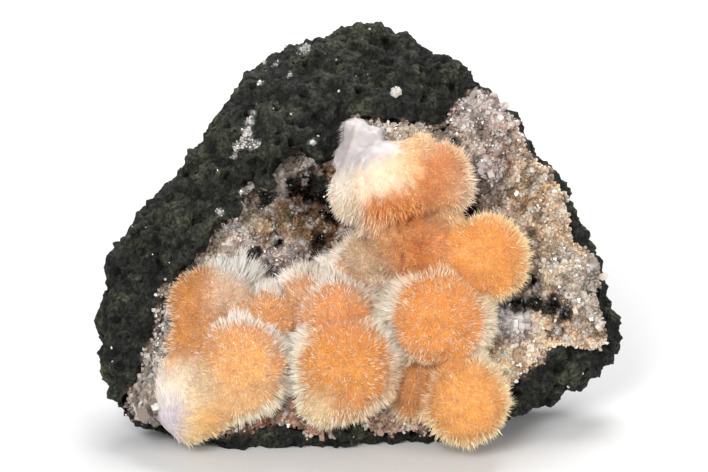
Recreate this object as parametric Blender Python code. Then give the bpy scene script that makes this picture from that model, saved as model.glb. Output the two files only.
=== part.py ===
"""Thomsonite on heulandite: a dark basalt block, broken open across a hollow that is lined with small
heulandite crystals and half filled by a cluster of orange thomsonite balls.

The specimen is modelled in its own face frame, in millimetres: u to the right, v up the face and w out of
the face, towards a person who looks into the hollow. The whole specimen then leans back by LEAN, so that
its worn base lies flat on the surface it stands on.
"""

import math

import bmesh
import bpy
import numpy as np
from mathutils import Matrix, Vector, noise

MM = 0.001
GAP = 0.3  # clear space between two pieces that touch, mm
RIM_GAP = 0.01  # the same at the crust's rim, as a share of the way out to it
FAR_OUT = 60.0  # beyond the specimen on any side, mm
LEAN = math.radians(20.0)  # how far the open face leans back from upright
BASE_HEIGHT = -34.2  # the flat base, measured from the face's centre along the upright, mm
SEED = 11

# The block's silhouette, seen square on to the open face, anticlockwise from the crown (u, v in mm).
BLOCK_OUTLINE = [
    (3.2, 38.7), (-2.3, 38.2), (-10.2, 36.4), (-13.6, 33.8), (-18.5, 31.0), (-21.4, 28.6),
    (-24.0, 24.3), (-26.9, 18.5), (-33.6, 10.8), (-39.4, 4.3), (-45.0, -3.4), (-45.5, -9.7),
    (-47.6, -14.2), (-47.4, -17.4), (-45.8, -21.8), (-46.6, -25.2), (-45.2, -29.4), (-41.9, -32.8),
    (-33.4, -35.6), (-29.8, -37.0), (-20.3, -37.7), (-9.1, -37.3), (-4.2, -38.8), (3.7, -37.0),
    (11.2, -37.6), (13.4, -39.2), (20.9, -36.6), (30.0, -31.4), (38.5, -27.6), (43.3, -24.6),
    (47.6, -18.9), (46.2, -12.2), (43.9, -10.4), (44.7, -6.3), (42.0, -0.5), (38.8, 5.6),
    (35.9, 11.2), (31.6, 15.3), (29.2, 21.8), (24.8, 25.2), (20.4, 28.6), (16.7, 31.9),
    (11.1, 34.2), (6.4, 37.5),
]
BLOCK_CENTRE = (0.0, -1.0)

# The rim of the crystal-lined hollow, in the same view and order.
HOLLOW_OUTLINE = [
    (-0.1, 21.4), (-4.2, 15.7), (-6.9, 13.1), (-10.9, 15.3), (-15.8, 13.0), (-15.8, 9.2),
    (-20.8, 10.3), (-21.7, 4.3), (-26.7, 0.9), (-30.2, -3.8), (-34.7, -9.5), (-35.9, -14.6),
    (-35.9, -19.4), (-38.3, -21.8), (-42.0, -27.6), (-41.6, -32.0), (-33.6, -34.2), (-26.2, -35.6),
    (-20.4, -34.4), (-14.0, -33.3), (-7.7, -35.5), (-1.9, -33.1), (3.9, -35.6), (10.7, -34.7),
    (21.5, -32.0), (26.6, -27.2), (30.7, -23.4), (34.5, -19.8), (39.5, -19.8), (43.6, -20.3),
    (45.1, -18.2), (42.8, -11.3), (44.0, -7.2), (42.0, -2.7), (38.3, -0.5), (38.2, 4.5),
    (35.1, 11.0), (31.0, 14.9), (29.6, 18.9), (26.9, 22.8), (23.2, 26.6), (20.6, 27.2),
    (15.4, 19.4), (13.6, 18.9), (11.3, 20.2), (5.5, 20.5),
]
HOLLOW_CENTRE = (0.0, -9.5)

# Heights of the broken basalt face above the face plane: (u, v, w) in mm.
BASALT_HEIGHTS = [
    (-42, -8, 2), (-35, -2, 7), (-25, 8, 8), (-28, 14, 2), (-18, 22, 4), (-20, 15, 7),
    (-11, 31, -4), (-6, 22, 5), (3, 36, -9), (3, 28, -2), (7, 22, 4), (16, 30, -8), (15, 22, 2),
    (19, 23, 0), (25, 25, -9), (32, 12, -9), (40, -1, -11), (44, -7, -13), (46, -17, -8),
    (39, -21, 3), (43, -23, -2), (32, -28, 6), (22, -34, 6), (12, -37, 6), (-2, -37, 7),
    (-20, -37, 8), (-31, -36, 7), (-42, -30, 4), (-44, -25, 2), (-42, -18, 4),
]
# Heights of the crust's own surface in the hollow, without its crystals.
CRUST_HEIGHTS = [
    (-13, 4, -7), (-20, 1, -3), (-6, 10, -5), (-34, -14, 2), (-30, -6, 2), (-37, -26, 4),
    (0, 18, 0), (-8, -6, -4), (8, -8, -2), (0, -20, 0), (-20, -18, -1), (28, 6, -3), (20, 16, -3),
    (24, 23, -6), (30, 16, -8), (36, 6, -8), (40, -5, -7), (30, -8, -2), (33, -12, -5),
    (40, -15, -1), (28, -20, 3), (20, -30, 4), (0, -34, 5), (-20, -34, 6), (-32, -33, 5),
]
HEIGHT_REACH = 6.5  # how far each height above holds sway, mm
CRUST_THICKNESS = (2.6, 0.9)  # at the hollow's centre and at its rim
RIM_TAPER = 4.0  # higher keeps the crust thick closer to its rim
CRUST_LUMPS = 0.55

# Depth of the block: the height at which its silhouette is widest, and how far its back lies behind that.
WIDEST_AT = -8.0
WIDEST_SLOPE = (-0.12, -0.22)  # along u and along v
LEAST_EDGE = 4.0  # how far the face stands above the widest level at its rim
BACK_DEPTH = 31.0
FRONT_SQUARENESS = 0.62  # 1 is an ellipsoid and 0 a box
BLOCK_POINTS = 1200

# Fracture faces that flatten the block's back and flanks: direction (u, v, w) and distance from the block's
# centre, in mm.
FRACTURES = [
    ((-0.75, 0.45, -0.50), 32.0), ((0.15, 0.80, -0.60), 31.0), ((0.70, 0.35, -0.60), 30.5),
    ((0.75, -0.40, -0.55), 34.0), ((-0.70, -0.45, -0.55), 36.0), ((0.05, 0.10, -1.0), 33.0),
    ((-0.35, 0.15, -0.92), 32.5), ((0.30, -0.55, -0.80), 36.0),
]
FRACTURE_FLATNESS = 0.9
FRACTURE_ONSET = 2.2  # how soon behind the silhouette the fractures take hold

BLOCK_LUMPS = [(11.0, 2.4), (5.0, 1.9)]  # width and height of the lumps, mm
RIM_CALM = 0.8  # how much lower lumps and pits are on the silhouette, which keeps its measured outline

# Pits left by gas bubbles in the lava.
PIT_COUNT = 150
PIT_DEPTH = (1.3, 2.6)
PITS_WITHIN = 0.85  # 1 on the silhouette and 0 at the middle of the front and the back

# The balls: (u, v, w, radius) of each, in mm, to the tips of its needles.
BALLS = {
    "crown": (4.6, 9.0, 6.0, 9.4),
    "crown_right": (13.6, 10.6, 5.0, 6.9),
    "crown_core": (1.6, 15.6, 3.6, 5.6),
    "under_crown": (9.4, -1.4, 4.2, 7.4),
    "right": (22.2, -3.9, 4.6, 7.9),
    "centre": (14.0, -14.4, 7.6, 9.8),
    "low_right": (18.5, -29.0, 9.6, 7.6),
    "low_right_gap": (10.4, -26.6, 5.0, 6.2),
    "low_centre": (-2.2, -22.6, 9.8, 9.9),
    "mid_centre": (-4.3, -14.4, 4.6, 8.9),
    "low_left": (-20.8, -23.0, 8.8, 9.5),
    "corner": (-30.4, -29.6, 8.0, 7.6),
    "mid_left": (-16.4, -16.2, 3.4, 7.2),
    "far_left": (-25.6, -19.4, 3.4, 8.2),
    "top_left": (-25.2, -12.0, 1.4, 8.0),
    "behind_centre": (-9.6, -11.2, 1.0, 5.6),
    "tuft": (-0.8, -4.8, 1.2, 5.4),
}
# Two balls are broken open, which leaves a flat section: ball, direction it faces and distance from centre.
BREAKS = {
    "crown": ((-0.46, 0.62, 0.63), 2.2),
    "corner": ((-0.80, -0.10, 0.60), 3.6),
}
BALL_CLEARANCE = 0.8  # clear space between the balls and the basalt
CUTTER_POINTS = 60
BALL_POINTS = 62
SPINE_HEIGHT = 1.3

# Heulandite crystals that stand out of the crust: coffin-shaped plates.
CRYSTAL_COUNT = 58
CRYSTAL_LENGTH = (2.4, 4.2)
CRYSTAL_WIDTH, CRYSTAL_THICKNESS = 0.62, 0.45  # as shares of the length
CRYSTAL_TAPER = 0.84
CRYSTAL_TIP = (35, 85)  # how far a plate tips out of the crust, degrees
CRYSTAL_LIFT = 0.12  # how far its centre stands above the crust, as a share of its length
CRYSTAL_SPACING = 2.2
CRYSTAL_CLEARANCE = 2.8  # from the nearest ball
CRYSTAL_ZONE = ((-40.0, 45.0), (-36.0, 27.0))  # along u and along v
RIM_CLEARANCE = 0.90  # share of the way out to the hollow's rim
NODULE = (-37.9, -29.2, 6.0, 3.1)  # a crystal-coated pebble at the lower left rim: u, v, w, radius
NODULE_WIDTH = 0.72  # as a share of its height
NODULE_LUMPS = 0.18
NODULE_POINTS = 60

COLOURS = {
    "basalt_matrix": ((0.030, 0.034, 0.027), 0.92),
    "heulandite_crust": ((0.520, 0.400, 0.310), 0.28),
    "thomsonite_cluster": ((0.830, 0.330, 0.070), 0.75),
}


def local(u, v, w):
    """A point of the face frame, in mm, as a point of the specimen's own axes, in metres."""
    return Vector((u, -w, v)) * MM


def golden_sphere(count):
    """A closed ball of count points spread evenly over a unit sphere by the golden angle."""
    mesh = bmesh.new()
    golden_angle = math.pi * (3 - math.sqrt(5))
    for i in range(count):
        height = 1 - 2 * (i + 0.5) / count
        around = golden_angle * i
        level = math.sqrt(1 - height * height)
        mesh.verts.new((level * math.cos(around), level * math.sin(around), height))
    bmesh.ops.convex_hull(mesh, input=mesh.verts)
    bmesh.ops.recalc_face_normals(mesh, faces=mesh.faces)
    mesh.normal_update()
    return mesh


def outline_radius(outline, centre, angle):
    """How far the outline lies from its centre in the direction of angle."""
    spokes = np.array(outline) - np.array(centre)
    angles = np.arctan2(spokes[:, 1], spokes[:, 0])
    return float(np.interp(angle, *by_angle(angles, np.hypot(spokes[:, 0], spokes[:, 1])), period=2 * math.pi))


def by_angle(angles, values):
    order = np.argsort(angles)
    return angles[order], values[order]


def height_at(heights, u, v):
    """The surface that passes smoothly near every listed height."""
    points = np.array(heights, float)
    apart = (points[:, 0] - u) ** 2 + (points[:, 1] - v) ** 2
    share = np.exp(-(apart - apart.min()) / (HEIGHT_REACH**2))
    return float((share * points[:, 2]).sum() / share.sum())


def lumps(point, size, height, offset=0.0):
    """Smooth lumps of this size and height, in mm."""
    return height * noise.noise(Vector(point) / size + Vector((offset, offset * 0.7, offset * 1.3)))


def flattened(point, direction, distance, flatness):
    """point moved back towards a plane if it stands out beyond it."""
    facing = Vector(direction).normalized()
    beyond = point.dot(facing) - distance
    return point - facing * max(0.0, beyond) * flatness


def block_point(direction):
    """Where a direction from the block's middle meets its rough surface, in the face frame."""
    angle = math.atan2(direction.y, direction.x)
    level = min(1.0, math.hypot(direction.x, direction.y))
    reach = outline_radius(BLOCK_OUTLINE, BLOCK_CENTRE, angle) * level**FRONT_SQUARENESS
    u = BLOCK_CENTRE[0] + reach * math.cos(angle)
    v = BLOCK_CENTRE[1] + reach * math.sin(angle)
    widest = WIDEST_AT + WIDEST_SLOPE[0] * u + WIDEST_SLOPE[1] * v
    rise = abs(direction.z) ** FRONT_SQUARENESS
    if direction.z > 0:
        face_height = max(LEAST_EDGE, height_at(BASALT_HEIGHTS, u, v) - widest)
        return Vector((u, v, widest + face_height * rise))
    point = Vector((u, v, widest - BACK_DEPTH * rise))
    flatness = FRACTURE_FLATNESS * min(1.0, FRACTURE_ONSET * abs(direction.z))
    for facing, distance in FRACTURES:
        point = flattened(point, facing, distance, flatness)
    return point


def basalt_block():
    """The whole block before the hollow is opened: its silhouette, broken faces, lumps and bubble pits."""
    rng = np.random.default_rng(SEED)
    mesh = golden_sphere(BLOCK_POINTS)
    inward = [-vert.normal.copy() for vert in mesh.verts]
    pitted = set(rng.choice(BLOCK_POINTS, PIT_COUNT, replace=False).tolist())
    mesh.verts.ensure_lookup_table()
    for vert in mesh.verts:
        point = block_point(vert.co)
        edge_on = 1 - abs(vert.co.z)
        depth = sum(lumps(point, size, height, size) for size, height in BLOCK_LUMPS)
        if vert.index in pitted and edge_on < PITS_WITHIN:
            depth += rng.uniform(*PIT_DEPTH)
        point += inward[vert.index] * depth * (1 - RIM_CALM * edge_on**3)
        vert.co = local(*point)
    return made_object("basalt_matrix", mesh)


def polar_grid(mesh, outline, centre, rings, height, spread=1.0):
    """One sheet over the outline, as rings of points round its centre. It returns the outermost ring."""
    middle = mesh.verts.new(local(*centre, height(*centre)))
    inner = [middle]
    for ring in range(1, rings + 1):
        share = spread * (ring / rings) ** 0.8
        row = []
        for u, v in outline:
            at = (centre[0] + (u - centre[0]) * share, centre[1] + (v - centre[1]) * share)
            row.append(mesh.verts.new(local(*at, height(*at))))
        for i in range(len(row)):
            following = (i + 1) % len(row)
            if ring == 1:
                mesh.faces.new((middle, row[i], row[following]))
            else:
                mesh.faces.new((inner[i], row[i], row[following]))
                mesh.faces.new((inner[i], row[following], inner[following]))
        inner = row
    return inner


def slab(name, back, front, rings_back, rings_front, spread=1.0):
    """A closed sheet over the hollow, between two surfaces that are given as heights over (u, v)."""
    mesh = bmesh.new()
    low = polar_grid(mesh, HOLLOW_OUTLINE, HOLLOW_CENTRE, rings_back, back, spread)
    high = polar_grid(mesh, HOLLOW_OUTLINE, HOLLOW_CENTRE, rings_front, front, spread)
    for i in range(len(low)):
        following = (i + 1) % len(low)
        mesh.faces.new((low[i], low[following], high[following]))
        mesh.faces.new((low[i], high[following], high[i]))
    bmesh.ops.recalc_face_normals(mesh, faces=mesh.faces)
    return made_object(name, mesh)


def crust_surface(u, v):
    """The crust's lumpy surface under its crystals."""
    return height_at(CRUST_HEIGHTS, u, v) + lumps((u, v, 0.0), 5.0, CRUST_LUMPS, 2.0)


def crust_floor(u, v):
    """The crust's back."""
    middle, rim = CRUST_THICKNESS
    thickness = middle + (rim - middle) * min(1.0, hollow_share(u, v)) ** RIM_TAPER
    return height_at(CRUST_HEIGHTS, u, v) - thickness


def hollow_wall(u, v):
    """The basalt under the crust, a little behind the crust's own back."""
    return crust_floor(u, v) - 1.5 * GAP


def ball_distance(u, v):
    """How far a place on the crust lies outside the nearest ball, in mm."""
    return min(math.hypot(u - ball[0], v - ball[1]) - ball[3] for ball in BALLS.values())


def hollow_share(u, v):
    """0 at the hollow's centre and 1 on its rim."""
    du, dv = u - HOLLOW_CENTRE[0], v - HOLLOW_CENTRE[1]
    return math.hypot(du, dv) / outline_radius(HOLLOW_OUTLINE, HOLLOW_CENTRE, math.atan2(dv, du))


def crystal(mesh, rng, u, v):
    """One coffin-shaped heulandite plate, standing on edge in the crust."""
    length = rng.uniform(*CRYSTAL_LENGTH)
    turn = Matrix.Rotation(rng.uniform(0, math.tau), 4, "Z")
    tip = Matrix.Rotation(math.radians(rng.uniform(*CRYSTAL_TIP)), 4, "X")
    roll = Matrix.Rotation(rng.uniform(0, math.tau), 4, "Z")
    outward = Matrix.Rotation(math.radians(90), 4, "X")
    plate = Matrix.Diagonal((1.0, CRYSTAL_WIDTH, 1.0, 1.0))
    centre = local(u, v, crust_surface(u, v) + CRYSTAL_LIFT * length)
    bmesh.ops.create_cone(
        mesh,
        cap_ends=True,
        segments=6,
        radius1=0.5 * length * MM,
        radius2=0.5 * CRYSTAL_TAPER * length * MM,
        depth=CRYSTAL_THICKNESS * length * MM,
        matrix=Matrix.Translation(centre) @ outward @ turn @ tip @ plate @ roll,
    )


def crystals():
    """The larger crystals of the druse, kept clear of the balls and of the rim."""
    rng = np.random.default_rng(SEED)
    mesh = bmesh.new()
    placed = []
    while len(placed) < CRYSTAL_COUNT:
        u, v = rng.uniform(*CRYSTAL_ZONE[0]), rng.uniform(*CRYSTAL_ZONE[1])
        apart = min((math.hypot(u - a, v - b) for a, b in placed), default=math.inf)
        if hollow_share(u, v) > RIM_CLEARANCE or ball_distance(u, v) < CRYSTAL_CLEARANCE:
            continue
        if apart > CRYSTAL_SPACING:
            crystal(mesh, rng, u, v)
            placed.append((u, v))
    return made_object("crystals", mesh)


def nodule(grow=0.0):
    """The crystal-coated pebble on the lower left rim."""
    u, v, w, radius = NODULE
    mesh = golden_sphere(NODULE_POINTS)
    for vert in mesh.verts:
        swell = 1 + lumps(vert.co, 0.6, NODULE_LUMPS)
        reach = (radius + grow) * swell * MM
        vert.co = local(u, v, w) + Vector((vert.co.x * NODULE_WIDTH, vert.co.y, vert.co.z)) * reach
    return made_object("nodule", mesh)


def ball_point(name, unit, radius):
    """A point on a ball's surface, in mm from the ball's centre, set back where the ball is broken open."""
    point = Vector(unit) * radius
    if name in BREAKS:
        facing, distance = BREAKS[name]
        point = flattened(point, facing, distance, 1.0)
    return point


def ball(name, grow=0.0, points=BALL_POINTS, spines=True):
    """One ball. Every third point stands out as a spine, as the tufts of needles do."""
    u, v, w, radius = BALLS[name]
    mesh = golden_sphere(points)
    for vert in mesh.verts:
        height = radius + grow
        if spines and vert.index % 3:
            height -= SPINE_HEIGHT
        vert.co = local(*(ball_point(name, vert.co, height) + Vector((u, v, w))))
    bmesh.ops.recalc_face_normals(mesh, faces=mesh.faces)
    return made_object("ball_" + name, mesh)


def made_object(name, mesh):
    """mesh as an object in the scene."""
    data = bpy.data.meshes.new(name)
    mesh.to_mesh(data)
    mesh.free()
    made = bpy.data.objects.new(name, data)
    bpy.context.scene.collection.objects.link(made)
    return made


def cut_or_join(body, operation, tools):
    """body with the tools cut from it or joined to it. The tools are removed afterwards."""
    group = bpy.data.collections.new("tools")
    bpy.context.scene.collection.children.link(group)
    for tool in tools:
        group.objects.link(tool)
    modifier = body.modifiers.new(operation.title(), "BOOLEAN")
    modifier.operation = operation
    modifier.operand_type = "COLLECTION"
    modifier.collection = group
    modifier.solver = "EXACT"
    modifier.use_self = operation == "UNION"
    bpy.context.view_layer.update()
    result = bpy.data.meshes.new_from_object(body.evaluated_get(bpy.context.evaluated_depsgraph_get()))
    body.modifiers.clear()
    body.data = result
    for tool in tools:
        bpy.data.objects.remove(tool)
    bpy.data.collections.remove(group)
    return body


def drop_chips(mesh):
    """Removes the loose chips that the cuts leave beside the largest piece."""
    unseen, bodies = set(mesh.verts), []
    while unseen:
        edge_of_search, body = [unseen.pop()], []
        while edge_of_search:
            vert = edge_of_search.pop()
            body.append(vert)
            near = {edge.other_vert(vert) for edge in vert.link_edges} & unseen
            unseen -= near
            edge_of_search.extend(near)
        bodies.append(body)
    largest = max(bodies, key=len)
    chips = [vert for body in bodies if body is not largest for vert in body]
    bmesh.ops.delete(mesh, geom=chips, context="VERTS")


def cut_base(body):
    """Cuts the block flat where it stands."""
    mesh = bmesh.new()
    mesh.from_mesh(body.data)
    upright = Vector((0.0, -math.sin(LEAN), math.cos(LEAN)))
    cut = bmesh.ops.bisect_plane(
        mesh,
        geom=[*mesh.verts, *mesh.edges, *mesh.faces],
        plane_co=upright * BASE_HEIGHT * MM,
        plane_no=upright,
        clear_inner=True,
    )
    rim = [edge for edge in cut["geom_cut"] if isinstance(edge, bmesh.types.BMEdge)]
    bmesh.ops.holes_fill(mesh, edges=rim)
    drop_chips(mesh)
    bmesh.ops.recalc_face_normals(mesh, faces=mesh.faces)
    mesh.to_mesh(body.data)
    mesh.free()
    return body


def basalt_matrix():
    """The block with the hollow opened, room made for the balls and the base cut flat."""
    block = basalt_block()
    hollow = slab("hollow", hollow_wall, lambda u, v: FAR_OUT, 3, 1, 1.0 + RIM_GAP)
    cut_or_join(block, "DIFFERENCE", [hollow])
    first, *others = [ball(name, BALL_CLEARANCE, CUTTER_POINTS, spines=False) for name in BALLS]
    cut_or_join(block, "DIFFERENCE", [cut_or_join(first, "UNION", others)])
    return cut_base(block)


def heulandite_crust():
    """The crust: a lumpy sheet on the wall of the hollow, with its larger crystals and the nodule fused in."""
    crust = slab("heulandite_crust", crust_floor, crust_surface, 3, 5, 1.0 - RIM_GAP)
    return cut_or_join(crust, "UNION", [crystals(), nodule()])


def thomsonite_cluster():
    """All the balls, grown into one, and trimmed where they sit on the crust."""
    first, *others = BALLS
    cluster = ball(first)
    cluster.name = "thomsonite_cluster"
    cut_or_join(cluster, "UNION", [ball(name) for name in others])
    seat = slab("seat", lambda u, v: -FAR_OUT, lambda u, v: crust_surface(u, v) + GAP, 1, 5, 1.0 - RIM_GAP)
    cut_or_join(cluster, "DIFFERENCE", [seat])
    return cut_or_join(cluster, "DIFFERENCE", [nodule(2 * GAP)])


def paint(body):
    """The piece's own colour."""
    colour, roughness = COLOURS[body.name]
    material = bpy.data.materials.new(body.name)
    material.use_nodes = True
    surface = material.node_tree.nodes["Principled BSDF"]
    surface.inputs["Base Color"].default_value = (*colour, 1.0)
    surface.inputs["Roughness"].default_value = roughness
    surface.inputs["Metallic"].default_value = 0.0
    body.data.materials.clear()
    body.data.materials.append(material)


def stand_up(pieces):
    """Leans the specimen back onto its base, with the origin at the centre of its footprint."""
    stand = bpy.data.objects.new("specimen", None)
    bpy.context.scene.collection.objects.link(stand)
    stand.rotation_euler = (-LEAN, 0.0, 0.0)
    turn = stand.rotation_euler.to_matrix()
    corners = np.array([turn @ vert.co for piece in pieces for vert in piece.data.vertices])
    middle = (corners.min(axis=0) + corners.max(axis=0)) / 2
    stand.location = (-middle[0], -middle[1], -corners[:, 2].min())
    for piece in pieces:
        piece.parent = stand


def main():
    for left_over in list(bpy.data.objects):
        bpy.data.objects.remove(left_over)
    pieces = [basalt_matrix(), heulandite_crust(), thomsonite_cluster()]
    home = bpy.data.collections.new("thomsonite_on_heulandite")
    bpy.context.scene.collection.children.link(home)
    for piece in pieces:
        paint(piece)
        bpy.context.scene.collection.objects.unlink(piece)
        home.objects.link(piece)
    stand_up(pieces)


main()
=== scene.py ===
# %% [markdown]
# # Thomsonite on heulandite
# The specimen is a block of dark basalt, broken open across a hollow. Small glassy heulandite crystals line
# the hollow, and on them sit orange balls of thomsonite, each a solid core in a coat of fine needles.
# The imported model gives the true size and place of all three. This lesson dresses each one in turn.

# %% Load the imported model
import math

import bmesh
import bpy
import numpy as np
from mathutils import Matrix, Vector, noise
from mathutils.kdtree import KDTree

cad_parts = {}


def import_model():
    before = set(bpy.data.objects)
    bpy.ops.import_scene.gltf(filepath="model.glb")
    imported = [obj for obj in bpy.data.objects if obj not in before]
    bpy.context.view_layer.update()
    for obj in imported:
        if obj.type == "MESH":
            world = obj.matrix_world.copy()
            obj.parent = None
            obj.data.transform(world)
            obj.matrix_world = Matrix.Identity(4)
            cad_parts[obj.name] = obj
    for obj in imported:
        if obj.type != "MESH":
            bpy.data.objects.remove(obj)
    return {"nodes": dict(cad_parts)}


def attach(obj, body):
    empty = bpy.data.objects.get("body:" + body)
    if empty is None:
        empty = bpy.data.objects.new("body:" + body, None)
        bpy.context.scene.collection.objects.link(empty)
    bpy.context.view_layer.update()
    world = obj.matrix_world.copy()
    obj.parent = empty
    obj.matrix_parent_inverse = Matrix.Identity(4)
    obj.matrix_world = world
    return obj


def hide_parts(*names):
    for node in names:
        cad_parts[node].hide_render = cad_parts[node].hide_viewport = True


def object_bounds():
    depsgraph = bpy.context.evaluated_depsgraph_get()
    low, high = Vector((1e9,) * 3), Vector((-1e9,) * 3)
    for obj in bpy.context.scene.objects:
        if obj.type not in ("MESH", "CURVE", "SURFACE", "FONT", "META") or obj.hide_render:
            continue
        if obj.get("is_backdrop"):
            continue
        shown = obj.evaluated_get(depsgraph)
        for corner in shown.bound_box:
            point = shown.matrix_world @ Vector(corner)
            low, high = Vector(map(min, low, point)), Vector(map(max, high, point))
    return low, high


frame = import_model()
cad_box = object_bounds()
print("packed nodes:", sorted(frame["nodes"]))

# %% [markdown]
# ## A frame for the face
# Every place on the specimen is easiest to say as seen square on to the open face: u to the right, v up the
# face and w out of it, in millimetres. The face leans back by 20 degrees, so one matrix turns face
# coordinates into the model's own.

# %% Face coordinates
MM = 0.001
LEAN = math.radians(20.0)
FACE_CENTRE = Vector((0.0689, -4.46, 34.2)) * MM
TURN = Matrix.Rotation(-LEAN, 3, "X")
OUTWARD = (TURN @ Vector((0.0, -1.0, 0.0))).normalized()


def world(points):
    """Face coordinates in mm, one row each, as places in the model in metres."""
    u, v, w = np.asarray(points, float).T
    return np.stack([u, -w, v], axis=1) * MM @ np.array(TURN).T + np.array(FACE_CENTRE)


def world_ways(directions):
    """Directions in face coordinates as directions in the model."""
    return (world(directions) - np.array(FACE_CENTRE)) / MM


def face(places):
    """Places in the model as face coordinates in mm."""
    x, y, z = ((np.asarray(places, float) - np.array(FACE_CENTRE)) @ np.array(TURN) / MM).T
    return np.stack([x, z, -y], axis=1)


print("the face's centre lies at", [round(c, 4) for c in FACE_CENTRE])

# %% [markdown]
# ## The camera
# The photograph was taken with a long lens, so lines hardly converge. The camera looks straight at the
# open face, 20 degrees above the horizon, and one pixel of the picture covers 0.18 mm there.

# %% Camera
IMAGE_SIZE = (708, 472)
PIXEL = 0.18
FACE_CENTRE_PIXEL = (360.5, 237.0)
CAMERA_DISTANCE = 0.9
SENSOR = 36.0

aim_u = (IMAGE_SIZE[0] / 2 - FACE_CENTRE_PIXEL[0]) * PIXEL
aim_v = (FACE_CENTRE_PIXEL[1] - IMAGE_SIZE[1] / 2) * PIXEL
target = Vector(world([(aim_u, aim_v, 0.0)])[0])
camera_data = bpy.data.cameras.new("camera")
camera_data.sensor_width = SENSOR
camera_data.lens = SENSOR * CAMERA_DISTANCE / (IMAGE_SIZE[0] * PIXEL * MM)
camera_data.clip_start = 0.05
camera = bpy.data.objects.new("camera", camera_data)
bpy.context.scene.collection.objects.link(camera)
camera.location = target + OUTWARD * CAMERA_DISTANCE
camera.rotation_euler = (-OUTWARD).to_track_quat("-Z", "Y").to_euler()
bpy.context.scene.camera = camera
print("lens", round(camera_data.lens), "mm at", CAMERA_DISTANCE, "m")

# %% [markdown]
# ## Basalt
# Basalt is dark, fine-grained lava. Gas bubbles left small round pits in it, and broken faces are rough
# and matt, olive where the rock has weathered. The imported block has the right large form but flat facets.
# Sculpting it by hand would take days, so it is rebuilt with an even, fine skin (a voxel remesh), rounded,
# and then pushed in and out by a small Geometry Nodes tree: knobs a few millimetres wide, crumbs and pits.

# %% Helpers for nodes


def linear(code):
    """An sRGB hex colour as linear red, green and blue."""
    channels = np.array([int(code[i : i + 2], 16) for i in (1, 3, 5)]) / 255
    return np.where(channels <= 0.04045, channels / 12.92, ((channels + 0.055) / 1.055) ** 2.4)


def add(tree, kind, inputs=None, stops=(), **options):
    """A new node with these options. Each input is linked if it gets a socket, and else filled.

    A colour ramp also gets its stops, which are places from 0 to 1 in rising order, with hex colours.
    """
    node = tree.nodes.new(kind)
    for name, value in options.items():
        setattr(node, name, value)
    for key, value in (inputs or {}).items():
        if isinstance(value, bpy.types.NodeSocket):
            tree.links.new(value, node.inputs[key])
        else:
            node.inputs[key].default_value = value
    for index, (place, code) in enumerate(stops):
        elements = node.color_ramp.elements
        stop = elements[index] if index < len(elements) else elements.new(place)
        stop.position = place
        stop.color = (*linear(code), 1.0)
    return node


def new_tree(name, inputs):
    """An empty Geometry Nodes tree with a geometry input and output, and these named inputs."""
    tree = bpy.data.node_groups.new(name, "GeometryNodeTree")
    tree.interface.new_socket("Geometry", in_out="INPUT", socket_type="NodeSocketGeometry")
    tree.interface.new_socket("Geometry", in_out="OUTPUT", socket_type="NodeSocketGeometry")
    for label, (kind, value) in inputs.items():
        socket = tree.interface.new_socket(label, in_out="INPUT", socket_type="NodeSocket" + kind)
        if value is not None:
            socket.default_value = value
    return tree


def applied(body):
    """Turns the body's live modifiers into a plain mesh."""
    depsgraph = bpy.context.evaluated_depsgraph_get()
    mesh = bpy.data.meshes.new_from_object(body.evaluated_get(depsgraph))
    body.modifiers.clear()
    body.data = mesh
    return body


def run_tree(body, tree, values):
    """Runs a Geometry Nodes tree on the body with these named inputs, and keeps the result as its mesh."""
    modifier = body.modifiers.new(tree.name, "NODES")
    modifier.node_group = tree
    for item in tree.interface.items_tree:
        if item.item_type == "SOCKET" and item.in_out == "INPUT" and item.name in values:
            modifier[item.identifier] = values[item.name]
    return applied(body)


print("basalt grey as linear numbers:", linear("#474840").round(3))

# %% A tree that weathers rock
NOISE_GAIN = 3.0  # noise seldom strays far from its middle, so it is stretched by this much
rock_tree = new_tree(
    "vesicular_rock",
    {
        "Knob Width": ("Float", 5.0),
        "Knob Height": ("Float", 1.2),
        "Crumb Width": ("Float", 1.7),
        "Crumb Height": ("Float", 0.5),
        "Pit Spacing": ("Float", 2.4),
        "Pit Depth": ("Float", 1.0),
        "Seed": ("Float", 3.0),
    },
)


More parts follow.
